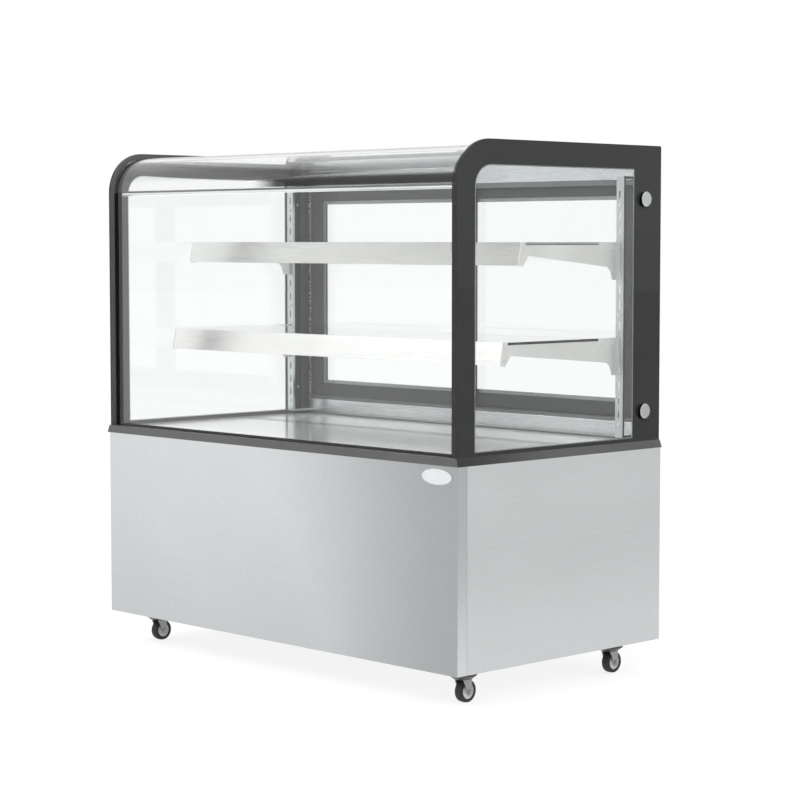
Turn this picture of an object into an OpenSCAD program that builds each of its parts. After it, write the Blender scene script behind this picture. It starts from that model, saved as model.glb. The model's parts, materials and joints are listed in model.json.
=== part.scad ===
// Refrigerated bakery display case on four swivel casters.
// Origin: on the floor, under the middle of the case. +Z is up, +X runs along
// the case to its right end and the customer's side faces -Y. Millimetres.

/* [Case] */
// Width of the base cabinet
case_w = 1200; // [900:10:1500]
// Depth of the base cabinet
case_d = 660; // [640:1:800]
// Height of the base cabinet
base_h = 442; // [400:1:600]
// Height of the glass top above the trim
glass_h = 665; // [640:1:760]
// Thickness of the cabinet's steel sheet
sheet_t = 1.2; // [0.8:0.1:2]
// Length that the front sheet wraps round each front corner
corner_wrap = 28; // [6:1:40]
// Width of the fold along the lower edge of each panel
panel_return = 10; // [6:1:14]
// How far the rear bumpers and the trim stand out from the cabinet
trim_out = 4.5; // [4:0.5:8]

/* [Trim and deck] */
// Height of the dark trim under the glass
trim_h = 18; // [14:1:30]
// Slope of the trim's end faces
trim_taper_x = 6; // [0:0.5:8]
// Slope of the trim's front face
trim_taper_y = 1.5; // [0:0.5:4]
// Width of the trim's ledge at the front and the ends
trim_w = 30; // [26:1:40]
// Width of the trim's ledge at the rear
trim_rear_w = 20; // [16:1:24]
// Thickness of the deck sheet
deck_t = 1.5; // [1:0.1:3]
// Distance from the rear doors to the rear edge of the deck
air_slot_w = 55; // [30:1:70]
// Middle of the row of air slots in the deck, from the middle of the case
louvre_y = 71.5; // [0:0.5:100]
// Length of each air slot in the deck
louvre_l = 53; // [30:1:60]
// Width of each air slot in the deck
louvre_slot = 6; // [4:0.5:8]
// Pitch of the air slots in the deck
louvre_pitch = 14; // [12:0.5:20]
// Depth of the insulated tub under the deck
tub_depth = 190; // [175:1:220]
// Thickness of the tub's insulation
tub_wall = 20; // [12:1:22]

/* [Glass top] */
// Thickness of the end glasses
end_glass_t = 6; // [4:0.5:8]
// Distance from the cabinet's end to the outer face of the end glass
end_glass_in = 4.2; // [2:0.1:6]
// Radius of the end glass at its top front corner
bend_r = 97; // [60:1:110]
// Radius of the end glass at its top rear corner
rear_corner_r = 5; // [2:0.5:12]
// Distance from the outline of the end glass to the bent front pane
pane_in = 12; // [8:0.5:20]
// Thickness of the bent front pane
pane_t = 8; // [5:0.5:10]
// Width of the printed border at the front of the end glass
border_front = 57.5; // [30:0.5:70]
// Width of the printed border at the rear of the end glass
border_rear = 90; // [60:1:100]
// Width of the printed border along the top of the end glass
border_top = 53; // [40:1:70]
// Width of the printed border along the bottom of the end glass
border_bottom = 7.5; // [4:0.5:20]
// Inner radius of the printed border
border_r = 48; // [20:1:50]
// Width of the printed strips at the ends of the front pane
pane_strip = 24; // [8:1:30]
// Height of the printed strip along the foot of the front pane
pane_foot_strip = 6; // [3:0.5:16]
// Diameter of the round glass caps
cap_d = 33.3; // [26:0.1:40]
// Distance that the glass caps stand out from the glass
cap_out = 9; // [6:0.5:10]
// Height of the lower glass caps above the trim
cap_low = 68; // [40:1:100]
// Distance of the upper glass caps from the top
cap_high = 120; // [90:1:160]
// Distance of the glass caps from the middle of the case's depth
cap_y = 270; // [262:1:272]

/* [Rear doors] */
// Distance from the case's rear edge to the front face of the door frame
frame_in = 40; // [38:1:60]
// Height of the steel lip below the doors
lip_h = 38; // [20:1:80]
// Height of the steel header above the doors
header_h = 54; // [40:1:80]
// Distance from the case's end to the opening between the frame's posts
post_in = 52; // [50:1:60]
// Width of the frame's posts
post_w = 7.7; // [6:0.1:10]
// Height of the upper door track
upper_track_h = 12.5; // [10:0.5:16]
// Height of the lower door track
lower_track_h = 8; // [6:0.5:12]
// Thickness of a door
door_t = 15; // [12:0.5:16]
// Width of a door's stiles
stile_w = 47; // [36:1:60]
// Height of a door's top rail
top_rail_h = 30; // [24:1:45]
// Height of a door's bottom rail
bottom_rail_h = 39; // [30:1:60]
// Width of the bead round the door's glass
bead_w = 8.5; // [6:0.5:12]
// Length that the two doors overlap at the middle
door_overlap = 54; // [50:1:70]
// Thickness of the door glass
door_glass_t = 6; // [4:0.5:6]

/* [Shelves] */
// Height of the upper shelf's top above the deck trim
upper_shelf_h = 448.5; // [400:1:520]
// Height of the lower shelf's top above the deck trim
lower_shelf_h = 234; // [180:1:300]
// Distance of the upper shelf's front edge from the middle of the case
upper_front = 96; // [40:1:120]
// Distance of the lower shelf's front edge from the middle of the case
lower_front = 151.5; // [100:1:180]
// Thickness of the shelf glass
shelf_t = 6; // [4:0.5:8]
// Height of the shelves' front rail
rail_h = 50; // [30:1:52]
// How far the rail's lower edge leans to the front
rail_lean = 9.5; // [0:0.5:14]
// Depth of the rail's folds
rail_fold = 13; // [8:0.5:16]
// Depth of the upper brackets at their rear
upper_neck = 55.5; // [40:0.5:60]
// Depth of the lower brackets at their rear
lower_neck = 55.5; // [40:0.5:60]
// Thickness of the brackets
bracket_t = 2.5; // [1.5:0.1:3]
// Width of the slotted standards
standard_w = 22; // [18:0.5:30]
// Depth of the slotted standards
standard_d = 7; // [6:0.5:10]
// Pitch of the slots in the standards
slot_pitch = 33.7; // [30:0.1:40]
// Length of the slots in the standards
slot_l = 17; // [12:0.5:22]

/* [Casters] */
// Height of the casters
caster_h = 76.5; // [70:0.5:110]
// Diameter of the caster wheels
wheel_d = 50; // [40:1:52]
// Width of the caster wheels
wheel_w = 22; // [16:1:26]
// Distance that a wheel trails behind its swivel
caster_trail = 8; // [4:0.5:20]
// Distance from the cabinet's end to a caster's swivel
caster_in_x = 72.5; // [50:0.5:120]
// Distance from the cabinet's front or rear to a caster's swivel
caster_in_y = 90; // [50:1:120]
// Side of the square caster plates
caster_plate = 46; // [40:1:80]

/* [Machine] */
// Diameter of the compressor's shell
compressor_d = 150; // [120:1:170]
// Height of the compressor's shell
compressor_h = 175; // [150:1:180]
// Diameter of the condenser fan
condenser_fan_d = 190; // [150:1:200]
// Diameter of the evaporator fan
evaporator_fan_d = 110; // [80:1:120]
// Pitch of the fins in both coils
fin_pitch = 12; // [8:1:20]
// Radius of the cable gland's bore
gland_r = 5.5; // [4:0.5:7]

/* [Hidden] */
$fn = 96;
// clearances
fit_gap = 0.3;        // between pieces that stand next to each other
run_gap = 0.05;       // radial, between a shaft and its bore
slide_gap = 0.5;      // between a door and its track
frit_t = 0.3;         // printed borders and their clearance
// planes of the cabinet
hw = case_w / 2;
hd = case_d / 2;
base_z0 = caster_h;
base_z1 = base_z0 + base_h;
trim_z = base_z1 + trim_h;
top_z = trim_z + glass_h;
deck_drop = 0.5;
deck_z = trim_z - deck_drop;
deck_z0 = deck_z - deck_t;
frame_y = hd - frame_in;
frame_depth = 36;
deck_rear_y = frame_y - air_slot_w;
deck_front_y = -hd + trim_w + fit_gap;
inner_w = hw - trim_w - fit_gap;
// base frame and tub
floor_t = 3;
post_side = 30;
rail_side = 20;
frame_in_x = hw - panel_return - fit_gap;
frame_in_y = hd - panel_return - fit_gap;
tub_z0 = deck_z0 - tub_depth;
tub_hw = frame_in_x - rail_side - 4;
tub_y0 = -frame_in_y + rail_side + 4;
tub_y1 = hd - trim_rear_w - fit_gap;
tub_rear_wall = tub_y1 - frame_y + 1;
// glass top
glass_x1 = hw - end_glass_in;
glass_x0 = glass_x1 - end_glass_t;
glass_y0 = -hd;
glass_y1 = hd - 1;
bend_y = glass_y0 + bend_r;
bend_z = top_z - bend_r;
pane_hw = glass_x0 - 2 * frit_t;
pane_y = glass_y0 + pane_in;
pane_z = top_z - pane_in;
pane_r = bend_r - pane_in;
pane_y1 = glass_y1 - 7;
pane_under = pane_z - pane_t;
cap_bolt_r = 4;
lamp_in = 12;         // from the pane's end to the lamp
cap_hole_r = 8;
cap_zs = [trim_z + cap_low, top_z - cap_high];
corner_post_w = 14;
corner_post_d = 22;
// door frame
open_hw = hw - post_in;
header_z0 = pane_under - header_h;
lip_z = trim_z + lip_h;
frame_wall = 2;
track_lip = 1.2;
track_z1 = header_z0;
track_web = 4;
sill_web = 3;
front_door_y = frame_y + track_lip + slide_gap;
rear_door_y = front_door_y + door_t + track_lip + 2 * slide_gap;
door_z0 = lip_z + sill_web + slide_gap;
door_z1 = track_z1 - track_web - 3;
door_lap = door_overlap / 2;
door_x = open_hw - slide_gap;
glass_pocket = 5;
// shelves
upper_z = trim_z + upper_shelf_h;
lower_z = trim_z + lower_shelf_h;
standard_x = hw - 41.5;
slot_x = standard_x - 1.3;
standard_y = deck_rear_y - standard_d;
standard_z0 = trim_z + 7;
standard_z1 = header_z0 + 5.5;
standard_wall = 1.5;
slot_w = 3.5;
slots_per_group = 7;
screw_to_slot = 22.9;
screw_pitch = (slots_per_group - 1) * slot_pitch + 2 * screw_to_slot;
screw_zs = [for (i = [0:2]) standard_z1 - 64.2 - i * screw_pitch];
slot_zs = [for (s = screw_zs, k = [0:slots_per_group - 1]) s - screw_to_slot - k * slot_pitch];
top_slot_zs = [for (k = [0:1]) screw_zs[0] + screw_to_slot + k * slot_pitch];
upstand_y = 157;
bracket_y1 = standard_y - fit_gap;
shelf_hw = slot_x + bracket_t / 2;
rail_hw = slot_x - bracket_t / 2 - fit_gap;
rail_t = 1.5;
// rear controls
control_x = hw - 170;
control_z = tub_z0 - 42;
control_w = 190;
control_h = 70;
plate_t = 1.5;
bezel_w = 77;
bezel_h = 35;
button_r = 3;
button_gap = 0.1;
button_xs = [control_x + 12, control_x + 24];
rocker_xs = [control_x - 45, control_x - 68];
rocker_w = 11;
rocker_h = 18;
rocker_pin_r = 1;
louvre_z0 = base_z0 + 50;
// machine compartment
machine_z = base_z0 + floor_t;
compressor_x = -330;
condenser_x = 30;
condenser_y = 235;
coil_t = 40;
evaporator_y = 130;
evaporator_fan_y = evaporator_y + coil_t + 14;
evaporator_z0 = tub_z0 + tub_wall + 4;
evaporator_z1 = evaporator_z0 + evaporator_fan_d + 20;
evaporator_mid = (evaporator_z0 + evaporator_z1) / 2;
condenser_z0 = machine_z + 4;
condenser_z1 = condenser_z0 + condenser_fan_d + 10;
condenser_mid = (condenser_z0 + condenser_z1) / 2;
condenser_fan_y = condenser_y - 14;
fan_t = 12;
condenser_fan_t = 20;
blade_pitch = 32;
gland_x = -500;
gland_z = base_z0 + 55;
// caster
caster_xs = [-hw + caster_in_x, hw - caster_in_x];
caster_ys = [-hd + caster_in_y, hd - caster_in_y];
plate_z0 = caster_h - 3;
wheel_r = wheel_d / 2;
pin_r = 4;
axle_r = 3;
hub_r = wheel_r - 8;
fork_gap = 1;
cheek_t = 2.5;

steel = "#c9cdcf";
dark = "#3c3d3f";
clear = [0.86, 0.93, 0.92, 0.35];
black = "#1b1b1c";
copper = "#b87448";

// A block between two opposite corners
module block(lo, hi) translate(lo) cube(hi - lo);

// Draws its children at the left end, mirrored, and at the right end
module both_ends() for (s = [0, 1]) mirror([s, 0, 0]) children();

// Stands a profile drawn in Y and Z up and runs it along X
module along_x(x0, x1) translate([x0, 0, 0]) rotate([90, 0, 90]) linear_extrude(x1 - x0) children();

// A cylinder along Y from y0 to y1
module rod_y(x, z, r, y0, y1) translate([x, y0, z]) rotate([-90, 0, 0]) cylinder(r = r, h = y1 - y0);

// A cylinder along X from x0 to x1
module rod_x(y, z, r, x0, x1) translate([x0, y, z]) rotate([0, 90, 0]) cylinder(r = r, h = x1 - x0);

// ---------------------------------------------------------------- cabinet

module base_frame() color("#9a9ea1") {
    block([-frame_in_x, -frame_in_y, base_z0], [frame_in_x, frame_in_y, base_z0 + floor_t]);
    for (sx = [0, 1], sy = [0, 1]) mirror([sx, 0, 0]) mirror([0, sy, 0])
        difference() {
            block([frame_in_x - post_side, frame_in_y - post_side, base_z0 + floor_t],
                [frame_in_x, frame_in_y, base_z1]);
            block([frame_in_x - post_side - 1, frame_in_y - post_side - 1, base_z0],
                [frame_in_x - floor_t, frame_in_y - floor_t, base_z1 + 1]);
        }
    both_ends() block([frame_in_x - rail_side, -frame_in_y, base_z1 - rail_side],
        [frame_in_x, frame_in_y, base_z1]);
    block([-frame_in_x, -frame_in_y, base_z1 - rail_side],
        [frame_in_x, -frame_in_y + rail_side, base_z1]);
    for (y = [-150, 180])
        block([-frame_in_x, y, tub_z0 - rail_side], [frame_in_x, y + rail_side, tub_z0]);
    both_ends() block([frame_in_x - floor_t, -frame_in_y, tub_z0 - rail_side],
        [frame_in_x, frame_in_y, tub_z0]);
}

module front_panel() color(steel) {
    block([-hw, -hd, base_z0], [hw, -hd + sheet_t, base_z1]);
    both_ends() block([hw - sheet_t, -hd, base_z0], [hw, -hd + corner_wrap, base_z1]);
    block([-hw + panel_return, -hd, base_z0], [hw - panel_return, -hd + panel_return, base_z0 + sheet_t]);
}

module side_panel() color(steel) {
    side_y0 = -hd + corner_wrap + fit_gap;
    block([hw - sheet_t, side_y0, base_z0], [hw, hd, base_z1]);
    block([hw - panel_return, side_y0, base_z0], [hw, hd, base_z0 + sheet_t]);
    block([hw - panel_return, hd - sheet_t, base_z0], [hw, hd, base_z1]);
}

module left_side_panel() mirror([1, 0, 0]) side_panel();
module right_side_panel() side_panel();

// Rear cover with pressed air louvres, two bumpers and the control opening
module rear_panel() color(steel) {
    panel_hw = hw - panel_return - fit_gap;
    hood = 2.5;
    difference() {
        block([-panel_hw, hd - sheet_t, base_z0], [panel_hw, hd, base_z1]);
        for (column = [-1:2], row = [0:9])
            block([column * 150 - 60 - 45, hd - 3, louvre_z0 + row * 18],
                [column * 150 + 60 - 45, hd + 1, louvre_z0 + row * 18 + 7]);
        block([control_x - control_w / 2 + 8, hd - 3, control_z - control_h / 2 + 8],
            [control_x + control_w / 2 - 8, hd + 1, control_z + control_h / 2 - 8]);
        rod_y(gland_x, gland_z, gland_r + 5 + run_gap, hd - 3, hd + 1);
    }
    for (column = [-1:2], row = [0:9])
        block([column * 150 - 62 - 45, hd - sheet_t, louvre_z0 + row * 18 + 7],
            [column * 150 + 62 - 45, hd + hood, louvre_z0 + row * 18 + 8.2]);
    both_ends() block([panel_hw - 20, hd, base_z0 + 2], [panel_hw, hd + trim_out, base_z0 + 30]);
}

// Plate on the rear panel with the controller's window and two switch bezels
module control_plate() color(dark) {
    bezel_in = 6;
    difference() {
        union() {
            block([control_x - control_w / 2, hd, control_z - control_h / 2],
                [control_x + control_w / 2, hd + plate_t, control_z + control_h / 2]);
            for (x = rocker_xs)
                block([x - rocker_w / 2 - 3, hd - bezel_in, control_z - rocker_h / 2 - 4],
                    [x + rocker_w / 2 + 3, hd + 2, control_z + rocker_h / 2 + 4]);
        }
        block([control_x + 20 - bezel_w / 2 + 3, hd - 1, control_z - bezel_h / 2 + 3],
            [control_x + 20 + bezel_w / 2 - 3, hd + plate_t + 1, control_z + bezel_h / 2 - 3]);
        for (x = rocker_xs) {
            block([x - rocker_w / 2 - fit_gap, hd - bezel_in - 1, control_z - rocker_h / 2 - 1],
                [x + rocker_w / 2 + fit_gap, hd + 3, control_z + rocker_h / 2 + 1]);
            rod_x(hd - 2, control_z, rocker_pin_r + run_gap, x - rocker_w / 2 - 2, x + rocker_w / 2 + 2);
        }
    }
}

// Foam tub that holds the evaporator under the deck
module insulated_tub() color("#e4e6e6") difference() {
    block([-tub_hw, tub_y0, tub_z0], [tub_hw, tub_y1, deck_z0]);
    block([-tub_hw + tub_wall, tub_y0 + tub_wall, tub_z0 + tub_wall],
        [tub_hw - tub_wall, tub_y1 - tub_rear_wall, deck_z0 + 1]);
}

module deck_panel() color("#d6d9da") {
    louvre_n = floor((2 * inner_w - 60) / louvre_pitch / 2);
    difference() {
        block([-inner_w, deck_front_y, deck_z0], [inner_w, deck_rear_y, deck_z]);
        for (i = [-louvre_n:louvre_n])
            block([i * louvre_pitch - louvre_slot / 2, louvre_y - louvre_l / 2, deck_z0 - 1],
                [i * louvre_pitch + louvre_slot / 2, louvre_y + louvre_l / 2, deck_z + 1]);
    }
    block([-inner_w + tub_wall + 10, deck_rear_y - deck_t, deck_z0 - 15],
        [inner_w - tub_wall - 10, deck_rear_y, deck_z0]);
}

// Dark mitred frame between the cabinet and the glass
module base_trim() color(dark) difference() {
    intersection() {
        along_x(-hw - trim_out, hw + trim_out)
            polygon([[-hd - trim_out, base_z1], [-hd - trim_out + trim_taper_y, trim_z],
                [hd - trim_taper_y, trim_z], [hd, base_z1]]);
        translate([0, hd + 20, 0]) rotate([90, 0, 0]) linear_extrude(case_d + 60)
            polygon([[-hw - trim_out, base_z1], [-hw - trim_out + trim_taper_x, trim_z],
                [hw + trim_out - trim_taper_x, trim_z], [hw + trim_out, base_z1]]);
    }
    block([-hw + trim_w, -hd + trim_w, base_z1 - 1], [hw - trim_w, hd - trim_rear_w, trim_z + 1]);
}

// Blank oval plate on the front panel
module badge_plate() color("#dfe5e8") {
    badge_a = 44.5;
    badge_b = 17;
    badge_x = hw - 61;
    badge_z = base_z1 - 24;
    ellipse = [for (i = [0:63]) [badge_a * cos(i * 360 / 64), badge_b * sin(i * 360 / 64)]];
    translate([badge_x, -hd, badge_z]) rotate([90, 0, 0]) linear_extrude(1.2) polygon(ellipse);
}

// ------------------------------------------------------------- glass top

// Outline of the end glass, in Y and Z, moved in by a distance
module end_outline(inset = 0) {
    y0 = glass_y0 + inset;
    z1 = top_z - inset;
    translate([y0, trim_z]) square([glass_y1 - y0, bend_z - trim_z]);
    translate([bend_y, bend_z - 1]) square([glass_y1 - rear_corner_r - bend_y, z1 - bend_z + 1]);
    translate([glass_y1 - rear_corner_r - 1, bend_z - 1])
        square([rear_corner_r + 1, z1 - rear_corner_r - bend_z + 1]);
    translate([glass_y1 - rear_corner_r, z1 - rear_corner_r]) circle(rear_corner_r);
    translate([bend_y, bend_z]) circle(bend_r - inset);
}

module end_glass() color(clear) difference() {
    along_x(glass_x0, glass_x1) end_outline();
    for (z = cap_zs) rod_x(cap_y, z, cap_hole_r, glass_x0 - 1, glass_x1 + 1);
}

module left_end_glass() mirror([1, 0, 0]) end_glass();
module right_end_glass() end_glass();

// Clear window inside the printed border of an end glass
module border_window() {
    y0 = glass_y0 + border_front;
    y1 = glass_y1 - border_rear;
    z0 = trim_z + border_bottom;
    z1 = top_z - border_top;
    translate([y0, z0]) square([y1 - y0, z1 - border_r - z0]);
    translate([y0 + border_r, z1 - border_r - 1]) square([y1 - y0 - border_r, border_r + 1]);
    translate([y0 + border_r, z1 - border_r]) circle(border_r);
}

// Printed black borders on the inner faces of the end glasses and the front pane
module glass_borders() color(black) {
    both_ends() difference() {
        along_x(glass_x0 - frit_t, glass_x0) end_outline();
        along_x(glass_x0 - 1, glass_x0 + 1) border_window();
        for (z = cap_zs) rod_x(cap_y, z, cap_hole_r, glass_x0 - 1, glass_x0 + 1);
    }
    inner_y = pane_y + pane_t;
    both_ends() {
        block([pane_hw - pane_strip, inner_y, trim_z + pane_foot_strip], [pane_hw, inner_y + frit_t, bend_z]);
        block([pane_hw - pane_strip, bend_y, pane_under - frit_t], [pane_hw, frame_y - 1, pane_under]);
        along_x(pane_hw - pane_strip, pane_hw) intersection() {
            difference() {
                translate([bend_y, bend_z]) circle(pane_r - pane_t);
                translate([bend_y, bend_z]) circle(pane_r - pane_t - frit_t);
            }
            translate([bend_y - bend_r, bend_z]) square([bend_r, bend_r]);
        }
    }
    block([-pane_hw, inner_y, trim_z], [pane_hw, inner_y + frit_t, trim_z + pane_foot_strip]);
}

// One bent pane: the upright front, the bend and the flat top
module front_glass() color(clear) {
    block([-pane_hw, pane_y, trim_z], [pane_hw, pane_y + pane_t, bend_z]);
    block([-pane_hw, bend_y, pane_under], [pane_hw, pane_y1, pane_z]);
    along_x(-pane_hw, pane_hw) intersection() {
        difference() {
            translate([bend_y, bend_z]) circle(pane_r);
            translate([bend_y, bend_z]) circle(pane_r - pane_t);
        }
        translate([bend_y - bend_r, bend_z]) square([bend_r, bend_r]);
    }
}

// Round caps that hold the end glasses to the corner posts
module glass_caps() color("#b4b7b9") both_ends() for (z = cap_zs) {
    bolt_end = glass_x0 - corner_post_w;
    translate([0, cap_y, z]) rotate([0, 90, 0]) rotate_extrude() {
        polygon([[0, glass_x1], [cap_d / 2 - 3, glass_x1], [cap_d / 2 - 3, glass_x1 + 2],
            [cap_d / 2, glass_x1 + 2], [cap_d / 2, glass_x1 + cap_out - 1.5],
            [cap_d / 2 - 1.5, glass_x1 + cap_out], [0, glass_x1 + cap_out]]);
        polygon([[0, bolt_end], [cap_bolt_r, bolt_end], [cap_bolt_r, glass_x1], [0, glass_x1]]);
    }
}

// Slim lamp housing across the top of the front pane
module light_bar() color("#cfd2d3") {
    bar_y = pane_y + pane_t + 2 * frit_t;
    along_x(-pane_hw + lamp_in, pane_hw - lamp_in)
        polygon([[bar_y, bend_z + 3], [bar_y, bend_z - 5.5], [bar_y + 5, bend_z - 7.5],
            [bar_y + 12, bend_z - 4], [bar_y + 12, bend_z], [bar_y + 6, bend_z + 3]]);
}

// Welded steel frame round the rear doors
module rear_frame() color(steel) {
    y1 = frame_y + frame_depth;
    flange_y = y1 - 4;
    difference() {
        union() {
            block([-open_hw, frame_y, header_z0], [open_hw, y1, pane_under]);
            block([-open_hw, frame_y, trim_z], [open_hw, y1, lip_z]);
        }
        block([-open_hw - 1, frame_y + frame_wall, header_z0 + frame_wall],
            [open_hw + 1, y1 - frame_wall, pane_under - frame_wall]);
        block([-open_hw - 1, frame_y + frame_wall, trim_z + frame_wall],
            [open_hw + 1, y1 - frame_wall, lip_z - frame_wall]);
    }
    both_ends() {
        block([open_hw, frame_y, trim_z], [open_hw + post_w, y1, pane_under]);
        block([open_hw, flange_y, trim_z], [pane_hw, flange_y + frame_wall, pane_under]);
        for (z = [standard_z0, header_z0])
            block([open_hw, deck_rear_y, z], [open_hw + 18, frame_y, z + 5]);
    }
}

module corner_posts() color(black) both_ends() difference() {
    block([glass_x0 - corner_post_w, cap_y - corner_post_d / 2, trim_z],
        [pane_hw, cap_y + corner_post_d / 2, pane_under - 2 * frit_t]);
    for (z = cap_zs)
        rod_x(cap_y, z, cap_bolt_r + run_gap, glass_x0 - corner_post_w - 1, glass_x0 + 1);
}

// Profile of a door track: a web and three lips, in Y and Z
module track_profile(web, height) {
    lip_pitch = door_t + 2 * slide_gap + track_lip;
    translate([frame_y, 0]) square([2 * lip_pitch + track_lip, web]);
    for (i = [0:2]) translate([frame_y + i * lip_pitch, 0]) square([track_lip, height]);
}

module upper_track() color("#77797b") translate([0, 0, track_z1]) mirror([0, 0, 1])
    along_x(-open_hw, open_hw) track_profile(track_web, upper_track_h);

module lower_track() color("#77797b") translate([0, 0, lip_z])
    along_x(-open_hw, open_hw) track_profile(sill_web, lower_track_h);

// --------------------------------------------------------------- doors

// One sliding door's frame from x0 to x1, with a finger pull in its rear face
module door_frame(x0, x1, y0, pull_x) color(dark) {
    glass_z0 = door_z0 + bottom_rail_h;
    glass_z1 = door_z1 - top_rail_h;
    bead_y = 2;
    glass_y = y0 + door_t - door_glass_t - fit_gap;
    difference() {
        block([x0, y0, door_z0], [x1, y0 + door_t, door_z1]);
        block([x0 + stile_w, y0 - 1, glass_z0], [x1 - stile_w, y0 + bead_y, glass_z1]);
        block([x0 + stile_w + bead_w, y0 - 1, glass_z0 + bead_w],
            [x1 - stile_w - bead_w, y0 + door_t + 1, glass_z1 - bead_w]);
        block([x0 + stile_w + bead_w - glass_pocket, glass_y, glass_z0 + bead_w - glass_pocket],
            [x1 - stile_w - bead_w + glass_pocket, y0 + door_t + 1, glass_z1 - bead_w + glass_pocket]);
        block([pull_x - 9, y0 + door_t - 6, (door_z0 + door_z1) / 2 - 60],
            [pull_x + 9, y0 + door_t + 1, (door_z0 + door_z1) / 2 + 60]);
    }
}

module door_glass(x0, x1, y0) color(clear)
    block([x0 + stile_w + bead_w - glass_pocket + fit_gap, y0 + door_t - door_glass_t,
            door_z0 + bottom_rail_h + bead_w - glass_pocket + fit_gap],
        [x1 - stile_w - bead_w + glass_pocket - fit_gap, y0 + door_t,
            door_z1 - top_rail_h - bead_w + glass_pocket - fit_gap]);

module left_door_frame() door_frame(-door_x, door_lap, front_door_y, -door_x + stile_w / 2);
module right_door_frame() door_frame(-door_lap, door_x, rear_door_y, door_x - stile_w / 2);
module left_door_glass() door_glass(-door_x, door_lap, front_door_y);
module right_door_glass() door_glass(-door_lap, door_x, rear_door_y);

// ------------------------------------------------------------- shelving

// Slotted channel that carries the shelf brackets
module standard() color("#c5cacb") difference() {
    block([standard_x - standard_w / 2, standard_y, standard_z0],
        [standard_x + standard_w / 2, standard_y + standard_d, standard_z1]);
    block([standard_x - standard_w / 2 + standard_wall, standard_y + standard_wall, standard_z0 - 1],
        [standard_x + standard_w / 2 - standard_wall, standard_y + standard_d + 1, standard_z1 + 1]);
    for (z = concat(slot_zs, top_slot_zs)) if (z > standard_z0 + slot_l / 2 && z < standard_z1 - slot_l / 2)
        block([slot_x - slot_w / 2, standard_y - 1, z - slot_l / 2],
            [slot_x + slot_w / 2, standard_y + standard_wall + 1, z + slot_l / 2]);
    for (z = screw_zs) rod_y(standard_x, z, 2.6, standard_y - 1, standard_y + standard_wall + 1);
}

module left_standard() mirror([1, 0, 0]) standard();
module right_standard() standard();

// Pan-head screws with their nuts in the channel
module standard_screws() color("#d8dadb") both_ends() for (z = screw_zs) {
    rod_y(standard_x, z, 4.5, standard_y - 2.2, standard_y);
    rod_y(standard_x, z, 2.5, standard_y, standard_y + standard_wall);
    rod_y(standard_x, z, 4, standard_y + standard_wall, standard_y + standard_wall + 4);
}

// Slots that a bracket with its top at shelf_z hooks into
function hook_slots(shelf_z, neck) = [for (z = slot_zs)
    if (z + slot_l / 2 - 4 < shelf_z && z - slot_l / 2 > shelf_z - neck - 25) z];

// Knife bracket: front plate, ledge for the glass, upstand, rear lobe and hooks
module bracket(front, shelf_z, neck) color("#c9c9c6") {
    fold_y = -front + rail_fold;
    plate_low = shelf_z - rail_h - 2;
    lobe_z = shelf_z - neck - 29;
    lobe_r = 6;
    lobe_y = standard_y - 20;
    difference() {
        union() {
            along_x(slot_x - bracket_t / 2, slot_x + bracket_t / 2) {
                polygon([[-front, shelf_z], [fold_y, shelf_z], [fold_y, shelf_z - shelf_t],
                    [upstand_y, shelf_z - shelf_t], [upstand_y, shelf_z], [bracket_y1, shelf_z],
                    [bracket_y1, lobe_z], [lobe_y, lobe_z], [lobe_y - lobe_r, lobe_z + lobe_r],
                    [lobe_y - 12, shelf_z - neck - 7], [lobe_y - 20, shelf_z - neck],
                    [-front + 23, shelf_z - 29], [-front + 4, plate_low],
                    [-front - rail_lean, plate_low + 2.5]]);
                translate([lobe_y, lobe_z + lobe_r]) circle(lobe_r);
            }
            for (z = hook_slots(shelf_z, neck)) {
                top = min(z + slot_l / 2 - 1.5, shelf_z);
                block([slot_x - bracket_t / 2, bracket_y1, z - slot_l / 2 + 1.5],
                    [slot_x + bracket_t / 2, standard_y + standard_wall + 3.5, top]);
                block([slot_x - bracket_t / 2, standard_y + standard_wall + fit_gap, z - slot_l / 2 - 3],
                    [slot_x + bracket_t / 2, standard_y + standard_wall + 3.5, z]);
            }
        }
        for (y = [upstand_y + 5.5, upstand_y + 49])
            rod_x(y, shelf_z - 12.8, 2.5, slot_x - bracket_t, slot_x + bracket_t);
    }
    for (drop = [14, 38])
        rod_x(-front + 6, shelf_z - drop, 3, slot_x + bracket_t / 2, slot_x + bracket_t / 2 + 1.2);
}

module upper_left_bracket() mirror([1, 0, 0]) bracket(upper_front, upper_z, upper_neck);
module upper_right_bracket() bracket(upper_front, upper_z, upper_neck);
module lower_left_bracket() mirror([1, 0, 0]) bracket(lower_front, lower_z, lower_neck);
module lower_right_bracket() bracket(lower_front, lower_z, lower_neck);

// Folded sheet along a shelf's front edge
module shelf_rail(front, shelf_z) color("#dcdedf") along_x(-rail_hw, rail_hw)
    polygon([[-front, shelf_z], [-front + rail_fold, shelf_z], [-front + rail_fold, shelf_z - rail_t],
        [-front + rail_t, shelf_z - rail_t], [-front - rail_lean + rail_t * 1.5, shelf_z - rail_h + rail_t],
        [-front - rail_lean + rail_fold, shelf_z - rail_h + rail_t],
        [-front - rail_lean + rail_fold, shelf_z - rail_h], [-front - rail_lean, shelf_z - rail_h]]);

module upper_shelf_rail() shelf_rail(upper_front, upper_z);
module lower_shelf_rail() shelf_rail(lower_front, lower_z);

module shelf_glass(front, shelf_z) color(clear)
    block([-shelf_hw, -front + rail_fold + fit_gap, shelf_z - shelf_t],
        [shelf_hw, upstand_y - fit_gap, shelf_z]);

module upper_shelf_glass() shelf_glass(upper_front, upper_z);
module lower_shelf_glass() shelf_glass(lower_front, lower_z);

// -------------------------------------------------------- refrigeration

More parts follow.
